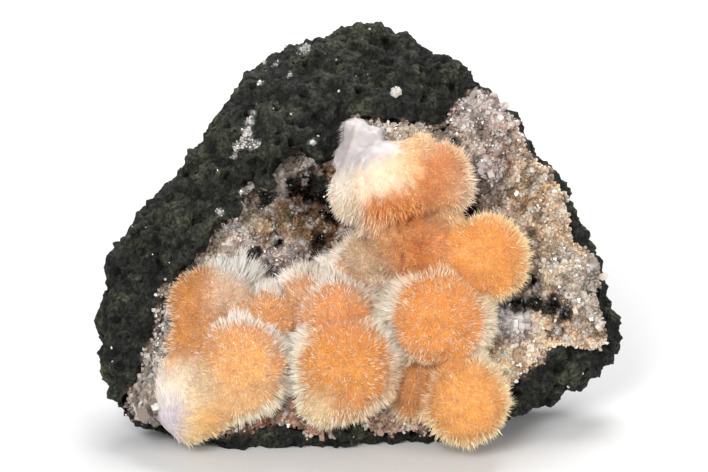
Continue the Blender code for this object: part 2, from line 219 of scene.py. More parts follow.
def build_rock_tree(tree):
    """All sizes are in mm. The depth of each pit and crease is also stored, for the material to paint as
    shade.
    """
    start = add(tree, "NodeGroupInput").outputs
    place = add(tree, "GeometryNodeInputPosition").outputs[0]
    in_mm = add(tree, "ShaderNodeVectorMath", {0: place, "Scale": 1 / MM}, operation="SCALE").outputs[0]
    counted = []
    for width in ("Knob Width", "Crumb Width", "Pit Spacing"):
        share = add(tree, "ShaderNodeMath", {0: 1.0, 1: start[width]}, operation="DIVIDE").outputs[0]
        steps = add(tree, "ShaderNodeVectorMath", {0: in_mm, "Scale": share}, operation="SCALE")
        counted.append(steps.outputs[0])
    in_knobs, in_crumbs, in_pits = counted

    knobs = add(
        tree,
        "ShaderNodeTexNoise",
        {"Vector": in_knobs, "W": start["Seed"], "Scale": 1.0, "Detail": 5.0, "Roughness": 0.58},
        noise_dimensions="4D",
    ).outputs[0]
    centred = add(tree, "ShaderNodeMath", {0: knobs, 1: 0.5}, operation="SUBTRACT").outputs[0]
    height = {0: start["Knob Height"], 1: NOISE_GAIN}
    knob_height = add(tree, "ShaderNodeMath", height, operation="MULTIPLY").outputs[0]
    knob_rise = add(tree, "ShaderNodeMath", {0: centred, 1: knob_height}, operation="MULTIPLY").outputs[0]

    crumbs = add(
        tree,
        "ShaderNodeTexVoronoi",
        {"Vector": in_crumbs, "Scale": 1.0, "Smoothness": 0.25},
        feature="SMOOTH_F1",
    ).outputs["Distance"]
    domed = add(tree, "ShaderNodeMath", {0: 0.5, 1: crumbs}, operation="SUBTRACT").outputs[0]
    domes = {0: domed, 1: start["Crumb Height"]}
    crumb_rise = add(tree, "ShaderNodeMath", domes, operation="MULTIPLY").outputs[0]
    crease_range = {"Value": crumbs, "From Min": 0.46, "From Max": 0.7, "To Max": 0.6}
    crease_for_shade = add(tree, "ShaderNodeMapRange", crease_range).outputs[0]

    cells = add(tree, "ShaderNodeTexVoronoi", {"Vector": in_pits, "Scale": 1.0, "Randomness": 1.0})
    from_middle = cells.outputs["Distance"]
    wall = {"Value": from_middle, "From Min": 0.18, "From Max": 0.42, "To Min": 1.0, "To Max": 0.0}
    hollow = add(tree, "ShaderNodeMapRange", wall, interpolation_type="SMOOTHSTEP").outputs[0]
    chance = add(tree, "ShaderNodeSeparateXYZ", {0: cells.outputs["Color"]}).outputs[0]
    some = {"Value": chance, "From Min": 0.35, "From Max": 0.8, "To Max": 1.0}
    bubble = add(tree, "ShaderNodeMapRange", some).outputs[0]
    pit = add(tree, "ShaderNodeMath", {0: hollow, 1: bubble}, operation="MULTIPLY").outputs[0]
    # Pits and creases are stored together, and the material paints them dark as shade.
    painted_shade_depth = add(tree, "ShaderNodeMath", {0: pit, 1: crease_for_shade}, operation="MAXIMUM").outputs[0]
    noted = add(
        tree,
        "GeometryNodeStoreNamedAttribute",
        {"Geometry": start["Geometry"], "Name": "pit", "Value": painted_shade_depth},
        data_type="FLOAT",
        domain="POINT",
    ).outputs[0]

    risen = add(tree, "ShaderNodeMath", {0: knob_rise, 1: crumb_rise}, operation="ADD").outputs[0]
    sunk = add(tree, "ShaderNodeMath", {0: pit, 1: start["Pit Depth"]}, operation="MULTIPLY").outputs[0]
    rise = add(tree, "ShaderNodeMath", {0: risen, 1: sunk}, operation="SUBTRACT").outputs[0]
    in_metres = add(tree, "ShaderNodeMath", {0: rise, 1: MM}, operation="MULTIPLY").outputs[0]
    normal = add(tree, "GeometryNodeInputNormal").outputs[0]
    push = add(tree, "ShaderNodeVectorMath", {0: normal, "Scale": in_metres}, operation="SCALE").outputs[0]
    moved = add(tree, "GeometryNodeSetPosition", {"Geometry": noted, "Offset": push}).outputs[0]
    add(tree, "NodeGroupOutput", {"Geometry": moved})


build_rock_tree(rock_tree)
print("rock tree nodes:", len(rock_tree.nodes))

# %% Helpers for meshes


def new_object(name, mesh):
    made = bpy.data.objects.new(name, mesh)
    bpy.context.scene.collection.objects.link(made)
    return made


def merged_copy(node, name):
    """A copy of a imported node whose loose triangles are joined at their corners."""
    mesh = bmesh.new()
    mesh.from_mesh(frame["nodes"][node].data)
    bmesh.ops.remove_doubles(mesh, verts=mesh.verts, dist=0.01 * MM)
    copy = bpy.data.meshes.new(name)
    mesh.to_mesh(copy)
    mesh.free()
    copy.materials.clear()
    return new_object(name, copy)


def remeshed(body, voxel, smoothing):
    """The body with an even skin of small quads, its facets rounded off."""
    skin = body.modifiers.new("skin", "REMESH")
    skin.mode = "VOXEL"
    skin.voxel_size = voxel * MM
    rounding = body.modifiers.new("rounding", "SMOOTH")
    rounding.factor = 0.5
    rounding.iterations = smoothing
    return applied(body)


def coordinates(body):
    """Where each vertex of the body is, in metres."""
    places = np.empty(len(body.data.vertices) * 3, np.float32)
    body.data.vertices.foreach_get("co", places)
    return places.reshape(-1, 3).astype(float)


def move_vertices(body, places):
    body.data.vertices.foreach_set("co", np.asarray(places, np.float32).ravel())
    body.data.update()


def triangles(body):
    body.data.calc_loop_triangles()
    return len(body.data.loop_triangles)


print("packed block triangles:", triangles(frame["nodes"]["basalt_matrix"]))

# %% The basalt block
BASALT_VOXEL = 0.5
ROCK_SIZES = {
    "Knob Width": 4.6,
    "Knob Height": 2.5,
    "Crumb Width": 1.7,
    "Crumb Height": 0.8,
    "Pit Depth": 1.4,
}
basalt = remeshed(merged_copy("basalt_matrix", "basalt_block"), BASALT_VOXEL, 6)
run_tree(basalt, rock_tree, ROCK_SIZES)
places = coordinates(basalt)
places[:, 2] = np.maximum(places[:, 2], 0.0)
move_vertices(basalt, places)
basalt.data.shade_smooth()
print("basalt triangles:", triangles(basalt))

# %% [markdown]
# The colour of basalt is never even. One broad noise turns patches of it from charcoal to olive, and a finer
# one gives the grain its salt and pepper. The pits and the creases between crumbs are painted almost black as
# shade, so the tree above stored how deep in a pit or crease each place lies. Two more attributes are stored
# further on: where crystals have grown over the rock it is browned, and where crumbs of them lie it is dusted
# white.

# %% Basalt material
BUBBLE_SPACING = 1.3  # of the pits that are only bumped and painted dark as shade, mm
BUBBLE_SHARE = 0.36  # how much of its cell the largest of them fills


def new_material(name, finish):
    """A material with one shader that has this finish."""
    material = bpy.data.materials.new(name)
    material.use_nodes = True
    tree = material.node_tree
    tree.nodes.clear()
    surface = add(tree, "ShaderNodeBsdfPrincipled", finish)
    add(tree, "ShaderNodeOutputMaterial", {"Surface": surface.outputs[0]})
    return material, tree, surface


# Broken lava scatters what light it returns, so it is rough and hardly shines.
dull = {"Roughness": 0.7, "Specular IOR Level": 0.2}
basalt_material, tree, surface = new_material("basalt, broken and weathered", dull)
spot = add(tree, "ShaderNodeTexCoord").outputs["Object"]
noises = []
# Patches, grain and crumbs, mm wide. Real grain is under 0.3 mm, too fine to show, so it is drawn coarser.
for width, detail in ((6, 3.0), (0.6, 4.0), (1.6, 4.0)):
    inputs = {"Vector": spot, "Scale": 1 / (width * MM), "Detail": detail, "Roughness": 0.6}
    noises.append(add(tree, "ShaderNodeTexNoise", inputs).outputs[0])
patches, grain, crumb = noises
patch_stops = [(0.36, "#343532"), (0.5, "#474840"), (0.66, "#686A54")]
grain_stops = [(0.36, "#646464"), (0.5, "#A8A8A8"), (0.6, "#D4D4D4"), (0.68, "#FFFFFF")]
patch_colour = add(tree, "ShaderNodeValToRGB", {"Fac": patches}, patch_stops).outputs["Color"]
grain_colour = add(tree, "ShaderNodeValToRGB", {"Fac": grain}, grain_stops).outputs["Color"]
both = {0: 1.0, 6: patch_colour, 7: grain_colour}
rock_colour = add(tree, "ShaderNodeMix", both, data_type="RGBA", blend_type="MULTIPLY").outputs[2]
print("basalt noises:", len(noises))

# %% Painted pit and crease shade, brown and dust on the basalt
bubbles = add(tree, "ShaderNodeTexVoronoi", {"Vector": spot, "Scale": 1 / (BUBBLE_SPACING * MM)})
bubble_size = add(tree, "ShaderNodeSeparateXYZ", {0: bubbles.outputs["Color"]}).outputs[0]
edge = add(tree, "ShaderNodeMath", {0: bubble_size, 1: BUBBLE_SHARE}, operation="MULTIPLY").outputs[0]
from_middle = bubbles.outputs["Distance"]
inside = {"Value": from_middle, "From Min": 0.0, "From Max": edge, "To Min": 1.4, "To Max": 0.0}
small_pit_shade = add(tree, "ShaderNodeMapRange", inside).outputs[0]
stored_shade_depth, grown_over, dusted = (
    add(tree, "ShaderNodeAttribute", attribute_name=label).outputs["Fac"]
    for label in ("pit", "overgrown", "dusted")
)
either = {0: small_pit_shade, 1: stored_shade_depth}
# How deep a place lies in a pit or crease, which is painted near-black below as shade.
depth = add(tree, "ShaderNodeMath", either, operation="MAXIMUM", use_clamp=True).outputs[0]
by_grain = {"Value": grain, "From Min": 0.4, "From Max": 0.6, "To Min": 0.15, "To Max": 1.0}
dust_grain = add(tree, "ShaderNodeMapRange", by_grain).outputs[0]
dust = add(tree, "ShaderNodeMath", {0: dusted, 1: dust_grain}, operation="MULTIPLY").outputs[0]
# The near-black is painted shade in the pits and creases. The browning and the dust are the rock's own
# colour.
for share, code in ((depth, "#070806"), (grown_over, "#8E7666"), (dust, "#C4C4C2")):
    layer = {0: share, 6: rock_colour, 7: (*linear(code), 1.0)}
    rock_colour = add(tree, "ShaderNodeMix", layer, data_type="RGBA").outputs[2]
tree.links.new(rock_colour, surface.inputs["Base Color"])
relief = {}
for height, rise, invert in ((grain, 0.4, False), (crumb, 1.2, False), (depth, 0.4, True)):
    inputs = {"Strength": 1.0, "Distance": rise * MM, "Height": height, **relief}
    relief = {"Normal": add(tree, "ShaderNodeBump", inputs, invert=invert).outputs[0]}
tree.links.new(relief["Normal"], surface.inputs["Normal"])
basalt.data.materials.append(basalt_material)
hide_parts("basalt_matrix")
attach(basalt, "root")
print("basalt material nodes:", len(tree.nodes))

# %% [markdown]
# ## Heulandite crust
# Heulandite grows as glassy, coffin-shaped plates about a millimetre long, so crowded that they hide what
# they grow on. The imported crust becomes the ground, remeshed and tinted by region: smoky in the recess,
# with painted shadow under its overhanging rim, lilac-grey at the top right and honey-coloured at the right.
# It also sinks into a few ragged holes, which are painted dark as shade, as are the dips between its lumps.
# Crystals could be placed one by one, but a crust has thousands, so Geometry Nodes sow them, each tipped
# and turned its own way.

# %% Places, colours and holes of the crust
# Where the crust is coloured how: u, v, reach in mm and colour.
CRUST_TINTS = [
    (-13, 12.6, 2.2, "#EAD4C4"),
    (-9.2, 13.8, 1.8, "#CFC4BC"),
    (-5.6, 12.4, 1.8, "#D2A880"),
    (-17.4, 7.4, 2.4, "#D8C8BA"),
    (-22.7, 1.5, 2.6, "#E2D4CC"),
    (-23.7, -2, 3, "#E6CDB8"),
    (-19.5, 4.5, 2.2, "#D8BFA4"),
    (-15.5, 2.5, 3.2, "#AC8E6C"),
    (-9.2, 1.8, 2.8, "#8A6A48"),
    # This darkest tint is painted shadow under the overhanging rim of the recess.
    (-10, 6, 2.4, "#6E5240"),
    (-14, -3, 3, "#C4B4AC"),
    (-6.6, -2.8, 2.6, "#866C5C"),
    (-34, -15, 6, "#D3CBC2"),
    (-38, -29, 4, "#B5A598"),
    (22, 22, 5, "#B4A49E"),
    (25, 27, 3, "#C8B6AE"),
    (17, 16, 4, "#BFB0A0"),
    (27, 17, 4, "#B89A86"),
    (33, 15, 4, "#DCC2A8"),
    (23, 11, 3.4, "#A89A98"),
    (24, 5, 4, "#A08C80"),
    (30, 8, 4, "#C4A47E"),
    (37, 4, 5, "#E0C2A2"),
    (30, 1, 3.4, "#B0987E"),
    (33, -4, 4, "#EAD0B4"),
    (26, -7, 3, "#84705E"),
    (30, -10, 3, "#A08E80"),
    (40, -9, 5, "#AEA296"),
    (28, -16, 3, "#E0D8DC"),
    (35, -18, 5, "#E2C2A2"),
    (27, -22, 4, "#E6C4A0"),
    (23, -27, 4, "#C8AC90"),
    (20, -34, 6, "#BFA79A"),
    (0, -35, 8, "#D2B09A"),
    (-14, -34, 5, "#B07E64"),
    (-12, -32, 3, "#DDB8A0"),
    (-26, -34, 5, "#B4988A"),
]
# Holes in the crust, painted dark as shade: u, v, radius and depth in mm.
CRUST_HOLES = [
    (-7.7, 8.3, 3.0, 3.6), (-5.4, 6.4, 2.2, 3.4), (-11.8, 9.4, 1.7, 2.6), (-5.0, 3.8, 1.5, 2.6),
    (-17, 7.2, 1.5, 2.2), (-19.4, -3.0, 1.4, 1.8), (-14.8, -1.0, 1.0, 1.4), (-7.4, -0.6, 1.2, 1.6),
    (19.5, 5.2, 1.9, 2.4), (28.5, -12.4, 1.5, 1.8), (31.5, -12.4, 1.5, 1.8),
    (34.5, -12.6, 1.7, 1.8), (37.0, -14.0, 1.4, 1.4), (31.0, -7.6, 1.1, 1.2),
    (24.8, -8.6, 1.4, 1.2), (17.0, 17.2, 1.0, 1.2),
]
FAINT = 1e-9  # what even the farthest region still counts


def rough(spots, width, seed=0.0):
    """Smooth noise from -1 to 1 at each place, with lumps this many mm wide."""
    return np.array([noise.noise(Vector(spot) / width + Vector((seed, 0, 0))) for spot in spots])


def shares(u, v, regions):
    """How much each region (u, v, reach and what it gives) counts at each place. They add up to 1."""
    counts = [np.exp(-((u - a) ** 2 + (v - b) ** 2) / reach**2) + FAINT for a, b, reach, *_ in regions]
    weights = np.array(counts)
    return (weights / weights.sum(axis=0)).T


def tints_at(spots):
    """The crust's colour at each place, blended from the regions near it."""
    colours = np.array([linear(code) for *_, code in CRUST_TINTS])
    return shares(spots[:, 0], spots[:, 1], CRUST_TINTS) @ colours


def holes_at(spots):
    """How deep each place sinks into the ragged holes of the crust, in mm."""
    ragged = 1 + 0.7 * rough(spots, 1.6, 17.0)
    depth = np.zeros(len(spots))
    for u, v, radius, floor in CRUST_HOLES:
        away = np.hypot(spots[:, 0] - u, spots[:, 1] - v) / (radius * ragged)
        depth = np.maximum(depth, floor * np.exp(-(away**4)))
    return depth


print("tinted regions:", len(CRUST_TINTS), "holes:", len(CRUST_HOLES))

# %% The crust's ground
CRUST_VOXEL = 0.5
LIFT = 0.2  # the ground is lifted by this, to make up for what the smoothing took off, mm
HOLE_SHADE = 0.95  # how much painted shade darkens the ground in a hole


def towards_viewer(body):
    """How far each vertex faces out of the hollow, from -1 to 1."""
    return np.array([vert.normal.dot(OUTWARD) for vert in body.data.vertices])


def paint_vertices(body, colours):
    """Stores one linear colour for each vertex, which the material reads as its colour."""
    inherited = body.data.color_attributes.get("colour")
    if inherited:
        body.data.color_attributes.remove(inherited)
    layer = body.data.color_attributes.new("colour", "FLOAT_COLOR", "POINT")
    alpha = np.ones((len(colours), 1))
    layer.data.foreach_set("color", np.hstack([colours, alpha]).astype(np.float32).ravel())


crust = remeshed(merged_copy("heulandite_crust", "crust_ground"), CRUST_VOXEL, 3)
spots = face(coordinates(crust))
sinking = holes_at(spots)
holes = np.clip(sinking, 0, 1)
lumps = 1.3 * rough(spots, 3.4) + 0.8 * rough(spots, 1.5, 7.0)
rise = np.where(towards_viewer(crust) > 0, lumps, 0)
spots[:, 2] += rise + LIFT - sinking
move_vertices(crust, world(spots))
# Painted shade: the ground is darkened in the holes and in the dips between its lumps.
shade = (1 - HOLE_SHADE * holes)[:, None] * (0.9 + 0.5 * np.clip(lumps, -1, 0.3)[:, None])
paint_vertices(crust, tints_at(spots) * shade)
crust.data.shade_smooth()
print("crust ground triangles:", triangles(crust))

# %% [markdown]
# One crystal is a plate with bevelled ends, like a coffin seen from above. It has only 20 triangles,
# because it is repeated thousands of times.

# %% One heulandite crystal
OUTLINE = [(0.0, -0.5), (0.34, -0.2), (0.30, 0.24), (0.06, 0.5), (-0.28, 0.32), (-0.34, -0.24)]
FRONT_SHRINK = 0.72  # the front face is smaller than the back, which gives the bevel
ROOT = 0.3  # how far the plate is lifted, so that it stands on its lower end


def coffin_crystal(name):
    """A unit plate: 1 long, 0.68 wide and 0.4 thick, standing on one end."""
    mesh = bmesh.new()
    rings = []
    for shrink, depth in ((1.0, -0.2), (FRONT_SHRINK, 0.2)):
        rings.append([mesh.verts.new((x * shrink, depth, y * shrink + ROOT)) for x, y in OUTLINE])
    for near, far in zip(rings, rings[1:]):
        for i in range(len(OUTLINE)):
            following = (i + 1) % len(OUTLINE)
            mesh.faces.new((near[i], near[following], far[following], far[i]))
    mesh.faces.new(list(reversed(rings[0])))
    mesh.faces.new(rings[-1])
    bmesh.ops.recalc_face_normals(mesh, faces=mesh.faces)
    data = bpy.data.meshes.new(name)
    mesh.to_mesh(data)
    mesh.free()
    return new_object(name, data)


crystal = coffin_crystal("crystal_pattern")
print("triangles in one crystal:", triangles(crystal))

# %% [markdown]
# A particle system could scatter the crystals, but a tree keeps every size under a name. It drops points
# that stay a set distance apart, thinned by the attribute "open", and stands one crystal on each. A chance
# between 0 and 1 is stored with each crystal, so that its colour can be its own.

# %% A tree that sows crystals
DENSEST = 2.0e7  # crystals on a square metre before the spacing thins them out
ANY_WAY = {"Min": (-1.0, -1.0, -1.0), "Max": (1.0, 1.0, 1.0)}
druse_tree = new_tree(
    "druse",
    {
        "Crystal": ("Object", None),
        "Spacing": ("Float", 0.5 * MM),
        "Length": ("Float", 1.0 * MM),
        "Least Share": ("Float", 0.35),
        "Tip": ("Float", 0.9),
        "Seed": ("Int", 1),
        "Material": ("Material", None),
    },
)


def build_druse_tree(tree):
    """Each crystal stands off the ground, tipped by Tip, at Least Share to 1.3 of the length."""
    start = add(tree, "NodeGroupInput").outputs
    seeded = {"Seed": start["Seed"]}
    thick = add(tree, "GeometryNodeInputNamedAttribute", {"Name": "open"}, data_type="FLOAT").outputs[0]
    where = {"Mesh": start["Geometry"], "Distance Min": start["Spacing"], "Density Max": DENSEST}
    sown = add(
        tree,
        "GeometryNodeDistributePointsOnFaces",
        {**where, "Density Factor": thick, **seeded},
        distribute_method="POISSON",
    )
    wander = add(tree, "FunctionNodeRandomValue", {**ANY_WAY, **seeded}, data_type="FLOAT_VECTOR").outputs[0]
    tipped = {0: wander, "Scale": start["Tip"]}
    lean = add(tree, "ShaderNodeVectorMath", tipped, operation="SCALE").outputs[0]
    up = {0: sown.outputs["Normal"], 1: lean}
    direction = add(tree, "ShaderNodeVectorMath", up, operation="ADD").outputs[0]
    stood = add(tree, "FunctionNodeAlignRotationToVector", {"Vector": direction}, axis="Z").outputs[0]
    full_turn = {2: 0.0, 3: math.tau, **seeded}
    turn = add(tree, "FunctionNodeRandomValue", full_turn, data_type="FLOAT").outputs[1]
    about_itself = {"Axis": (0.0, 0.0, 1.0), "Angle": turn}
    spin = add(tree, "FunctionNodeAxisAngleToRotation", about_itself).outputs[0]
    placed = add(
        tree,
        "FunctionNodeRotateRotation",
        {"Rotation": stood, "Rotate By": spin},
        rotation_space="LOCAL",
    ).outputs[0]
    part = {2: start["Least Share"], 3: 1.3, "Seed": 7}
    share = add(tree, "FunctionNodeRandomValue", part, data_type="FLOAT").outputs[1]
    size = add(tree, "ShaderNodeMath", {0: share, 1: start["Length"]}, operation="MULTIPLY").outputs[0]
    pattern = add(tree, "GeometryNodeObjectInfo", {"Object": start["Crystal"]}).outputs["Geometry"]
    copies = {"Points": sown.outputs["Points"], "Instance": pattern, "Rotation": placed, "Scale": size}
    grown = add(tree, "GeometryNodeInstanceOnPoints", copies).outputs[0]
    chance = add(tree, "FunctionNodeRandomValue", {"Seed": 5}, data_type="FLOAT").outputs[1]
    noted = add(
        tree,
        "GeometryNodeStoreNamedAttribute",
        {"Geometry": grown, "Name": "shade", "Value": chance},
        data_type="FLOAT",
        domain="INSTANCE",
    ).outputs[0]
    real = add(tree, "GeometryNodeRealizeInstances", {"Geometry": noted}).outputs[0]
    finish = {"Geometry": real, "Material": start["Material"]}
    coated = add(tree, "GeometryNodeSetMaterial", finish).outputs[0]
    add(tree, "NodeGroupOutput", {"Geometry": coated})


build_druse_tree(druse_tree)
print("druse tree nodes:", len(druse_tree.nodes))

# %% [markdown]
# Heulandite is a zeolite: glassy, nearly clear and faintly brown from traces of iron. Its refractive index is
# about 1.5. Clear crystals on a dark ground would look black, so only part of the light passes straight
# through them, and the rest goes in a little way and comes out again, tinted by the region they grow in.

# %% Heulandite material


def stored_colour(name, finish):
    """A material that takes its colour from what is stored on the mesh."""
    material, tree, surface = new_material(name, finish)
    tint = add(tree, "ShaderNodeAttribute", attribute_name="colour").outputs["Color"]
    tree.links.new(tint, surface.inputs["Base Color"])
    return material


clouded = {
    "IOR": 1.5,
    "Subsurface Weight": 0.6,
    "Subsurface Radius": (1.0, 0.95, 0.9),
    "Subsurface Scale": 0.25 * MM,
}
# Crystal faces are as smooth as glass, so they glint. The crust between them is worn duller.
glassy = {**clouded, "Roughness": 0.1, "Transmission Weight": 0.3, "Specular IOR Level": 0.8}
crystal_material = stored_colour("heulandite, glassy crystals", glassy)
ground_material = stored_colour("heulandite, intergrown crust", {**clouded, "Roughness": 0.35})
crust.data.materials.append(ground_material)
print("light goes", clouded["Subsurface Scale"] / MM, "mm into a crystal")

# %% [markdown]
# Crystals don't grow inside the balls that sit on the crust, so the balls are listed before the crust is
# sown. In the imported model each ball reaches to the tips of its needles. The ones here are the solid cores
# under them, so they are smaller. Their middles and radii tell how deep any place lies inside them.

# %% Balls of thomsonite: where they are
# Name: (u, v, w, radius of the solid core in mm).
BALLS = {
    "crown": (4.6, 9.4, 6.0, 8.0),
    "crown_right": (13.2, 10.2, 5.0, 6.1),
    "crown_core": (1.0, 15.8, 3.8, 3.9),
    "under_crown": (8.6, -1.4, 4.0, 6.8),
    "right": (22.2, -3.9, 4.6, 7.0),
    "centre": (14.0, -14.6, 7.6, 8.7),
    "low_right": (18.5, -29.0, 9.6, 7.3),
    "low_right_gap": (10.4, -26.6, 5.0, 5.4),
    "low_centre": (-2.7, -22.8, 9.6, 9.0),
    "mid_centre": (-4.2, -14.9, 4.8, 7.6),
    "low_left": (-21.4, -23.2, 8.6, 8.7),
    "corner": (-30.2, -29.4, 7.6, 6.9),
    "mid_left": (-16.6, -15.6, 3.8, 5.8),
    "far_left": (-26.8, -19.6, 3.4, 7.3),
    "top_left": (-26.2, -12.4, 1.6, 7.4),
    "behind_centre": (-9.6, -11.2, 1.2, 5.0),
    "tuft": (0.6, -4.6, 1.6, 5.0),
    "spray": (-21.6, -8.2, 0.6, 2.6),
}
# Lumps that only join the balls or roughen the broken crest: u, v, w and radius in mm.
SADDLES = [
    (-11.6, -23.4, 5.0, 4.6), (4.8, -15.0, 4.4, 4.6), (5.6, -21.6, 5.2, 4.8),
    (19.0, -9.0, 4.0, 4.4), (11.5, -7.0, 3.2, 4.6), (3.4, -8.2, 2.0, 4.4), (17.0, -22.4, 6.4, 4.8),
    (-21.0, -14.4, 2.6, 4.8), (-21.6, -18.6, 4.4, 4.4), (-26.0, -26.4, 8.2, 6.6),
    (-31.6, -25.4, 6.4, 5.2), (-6.2, -28.6, 10.6, 4.6), (-3.8, -7.6, 1.4, 3.8),
    (-11.6, -14.6, 2.4, 4.4), (14.4, 1.4, 3.0, 4.4), (-0.6, 19.0, 3.0, 2.4), (0.0, 13.0, 4.8, 4.4),
    (2.0, 17.6, 3.4, 2.6), (9.6, 9.8, 6.0, 6.6), (-0.4, 8.4, 5.0, 5.2), (10.0, 14.2, 4.6, 3.8),
    (5.0, 4.4, 5.0, 5.6), (15.4, -3.0, 4.4, 6.2), (14.6, 2.4, 3.0, 3.8),
]


def depth_inside(spots, u, v, w, radius):
    """How far each place lies inside a ball, in mm. Outside it is negative."""
    return radius - np.linalg.norm(spots - np.array((u, v, w)), axis=1)


def deepest(spots):
    """How deep each place lies inside the nearest ball or saddle."""
    return np.max([depth_inside(spots, *ball) for ball in [*BALLS.values(), *SADDLES]], axis=0)


print("balls:", len(BALLS), "saddles:", len(SADDLES))

# %% Helpers for sowing


def store(body, label, values):
    """Stores one number for each vertex, which the trees read."""
    layer = body.data.attributes.new(label, "FLOAT", "POINT")
    layer.data.foreach_set("value", np.asarray(values, np.float32))


def stored(body, label):
    """The numbers that a tree has stored, one for each vertex."""
    values = np.empty(len(body.data.vertices), np.float32)
    body.data.attributes[label].data.foreach_get("value", values)
    return values.astype(float)


def near(spots, places):
    """1 in the middle of the nearest of these places (u, v, reach), and 0 far from all."""
    close = np.zeros(len(spots))
    for u, v, reach in places:
        close = np.maximum(close, np.exp(-((spots[:, 0] - u) ** 2 + (spots[:, 1] - v) ** 2) / reach**2))
    return close


def finish_piece(piece, node):
    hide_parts(node)
    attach(piece, "root")
    return triangles(piece)


def sow(ground, name, share, sizes):
    """Grows crystals on a copy of the ground, as thickly as share says."""
    piece = new_object(name, ground.data.copy())
    piece.data.materials.clear()
    store(piece, "open", share)
    return run_tree(piece, druse_tree, {"Crystal": crystal, "Material": crystal_material, **sizes})


open_ground = (towards_viewer(crust) > -0.4) & (deepest(spots) < 0.5)
print("share of the crust that is open:", round(float(open_ground.mean()), 2))

# %% [markdown]
# Real crystals differ from one to the next. Whole clusters are milky, smoky or stained by rust, and single
# ones are brighter at random, the brightest as painted glints. Smooth noise over the crust makes the
# clusters, and the stored chance the single ones. Crystals in the dips of the ground and in its holes get
# painted shade.

# %% Colours of the crystals
MILKY = linear("#F6F0EA")
RUSTY = linear("#A07450")
DIMMEST, CHANCE_GAIN = 0.68, 0.8  # the lightness of the dimmest crystal, and how much the brightest adds to it as a painted glint
MOST_SMOKE = 0.5  # how much darker the smokiest crystals are
MOST_DIP_SHADE = 0.4  # how much darker painted shade makes those in a dip of the ground
MOST_RUST = 0.5
MOST_MILK = 0.85
BRIGHTEST = 0.92


def paint_crystals(piece, lightness, milky=0.0):
    """Colours crystals by region: smoky, milky or rusty clusters, single ones brighter at random as painted
    glints, and painted shade in dips and holes.
    """
    spots = face(coordinates(piece))
    chance = stored(piece, "shade")[:, None]
    colours = tints_at(spots) * lightness * (DIMMEST + CHANCE_GAIN * chance**2)
    smoky = np.clip(1.8 * rough(spots, 3.0, 37.0), 0, MOST_SMOKE)[:, None]
    # Painted shade: crystals in the dips of the ground are darkened.
    dip_shade = np.clip(0.15 - 1.3 * rough(spots, 3.4), 0, MOST_DIP_SHADE)[:, None]
    colours *= (1 - smoky) * (1 - dip_shade)
    clouds = 2.6 * rough(spots, 1.8, 11.0) - 0.2 + 0.6 * (chance - 0.5).ravel()
    milk = np.clip(clouds, milky, MOST_MILK)[:, None]
    rust = np.clip(2.4 * rough(spots, 2.6, 23.0) - 0.6, 0, MOST_RUST)[:, None]
    colours += rust * (RUSTY * (0.5 + chance) - colours)
    colours += milk * (MILKY - colours)
    # Painted shade: crystals in the holes are darkened.
    colours *= 1 - 0.9 * np.clip(holes_at(spots), 0, 1)[:, None]
    paint_vertices(piece, np.clip(colours, 0, BRIGHTEST))


print("milky crystals:", MILKY.round(2), "rusty crystals:", RUSTY.round(2))

# %% Sow the crust's crystals
# White plates that stand out of the crust: u, v and reach in mm.
WHITE_PLATES = [
    (28.2, -15.6, 1.8), (23.0, 11.5, 1.0), (26.5, 17.5, 0.6), (-14.5, 12.0, 1.2), (-22.5, 9.0, 1.0),
    (-36, -25, 1.6),
]
SMOKY_CRYSTALS = [(-37.6, -30.6, 1.8), (30.5, -9.0, 1.2)]  # larger, darker ones: u, v and reach in mm
SMOKY_LIGHT = 0.75
FINE = {"Spacing": 0.42 * MM, "Length": 0.9 * MM}
LARGE = {"Spacing": 0.7 * MM, "Length": 1.7 * MM}
FLAT_PLATES = {"Spacing": 0.9 * MM, "Length": 2.4 * MM, "Tip": 0.6}
STOUT = {"Spacing": 1.8 * MM, "Length": 3.4 * MM, "Least Share": 0.7, "Tip": 0.5}
MIDDLE = 15  # where one carpet ends and the next begins, so that neither gets too many triangles, mm

facing_out = open_ground * (1 - 0.6 * holes)
crust_left, crust_right = facing_out * (spots[:, 0] < MIDDLE), facing_out * (spots[:, 0] >= MIDDLE)
few = open_ground * (holes < 0.05) * 0.2
on_plates = open_ground * (near(spots, WHITE_PLATES) > 0.4)
on_smoky = open_ground * (near(spots, SMOKY_CRYSTALS) > 0.45)
total = finish_piece(crust, "heulandite_crust")
for name, share, sizes, lightness, milky in (
    ("heulandite_carpet_left", crust_left, {**FINE, "Seed": 4}, 1.6, 0.0),
    ("heulandite_carpet_right", crust_right, {**FINE, "Seed": 5}, 1.7, 0.0),
    ("heulandite_large_crystals", few, {**LARGE, "Seed": 9}, 1.6, 0.1),
    ("heulandite_white_plates", on_plates, {**FLAT_PLATES, "Seed": 2}, 1.5, 0.8),
):
    piece = sow(crust, name, share, sizes)
    paint_crystals(piece, lightness, milky)
    total += finish_piece(piece, "heulandite_crust")
smoky_crystals = sow(crust, "heulandite_smoky_crystals", on_smoky, {**STOUT, "Seed": 3})
paint_vertices(smoky_crystals, tints_at(face(coordinates(smoky_crystals))) * SMOKY_LIGHT)
total += finish_piece(smoky_crystals, "heulandite_crust")
print("crust triangles:", total)

# %% [markdown]
# The crust doesn't end in a clean line. It creeps over the broken edge of the basalt, most of all along the
# right-hand rim. A few crystals also grew in cracks and bubbles or lie on the rock as crumbs, and show as
# white specks, flakes and a streak of dust. Each vertex of the basalt stores how overgrown and how dusty it
# is, which sows crystals and browns or whitens the rock between them.

# %% Where crystals lie on the basalt
# Where the crust has spread over the rim: u, v and reach in mm.
OVERGROWTH = [
    (26, 26, 2.6), (29, 21.5, 3.2), (32, 17, 3.4), (34.5, 12, 3.4), (37, 7.5, 2.6), (41, -8, 2.2),
    (-34.6, -10, 1.5), (-35.0, -13, 1.6), (-35.4, -16.5, 1.8), (-36.0, -20, 2.0),
]
